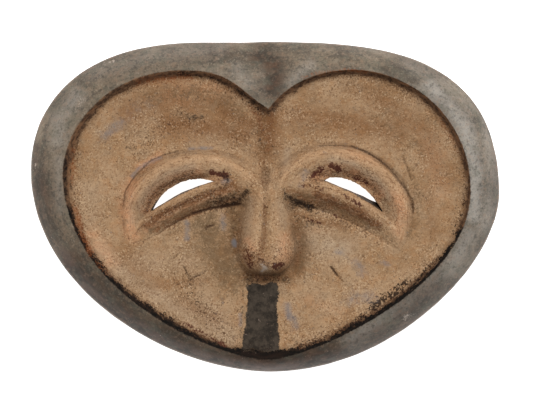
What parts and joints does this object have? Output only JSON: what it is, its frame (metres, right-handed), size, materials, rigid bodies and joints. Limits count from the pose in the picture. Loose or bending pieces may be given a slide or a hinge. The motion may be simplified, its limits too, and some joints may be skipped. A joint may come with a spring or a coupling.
{
  "type": "kwele mask",
  "caption": "Wide carved wooden face mask with a sunk heart-shaped face, long nose, hooded eyes with through slits, and a hollowed back.",
  "frame": {"origin": "middle of the bounding box, on the plane of the flat back edge that the mask rests on", "axes": "+X across the face to the right of the picture, +Y towards the forehead, +Z out of the front of the face"},
  "size_m": [0.3194, 0.225, 0.0441],
  "materials": {
    "carved_wood": "matt ochre pigment on the face, dark patinated wood on the frame, bare wood behind"
  },
  "bodies": {
    "root": {"mask": "carved_wood"}
  },
  "joints": []
}
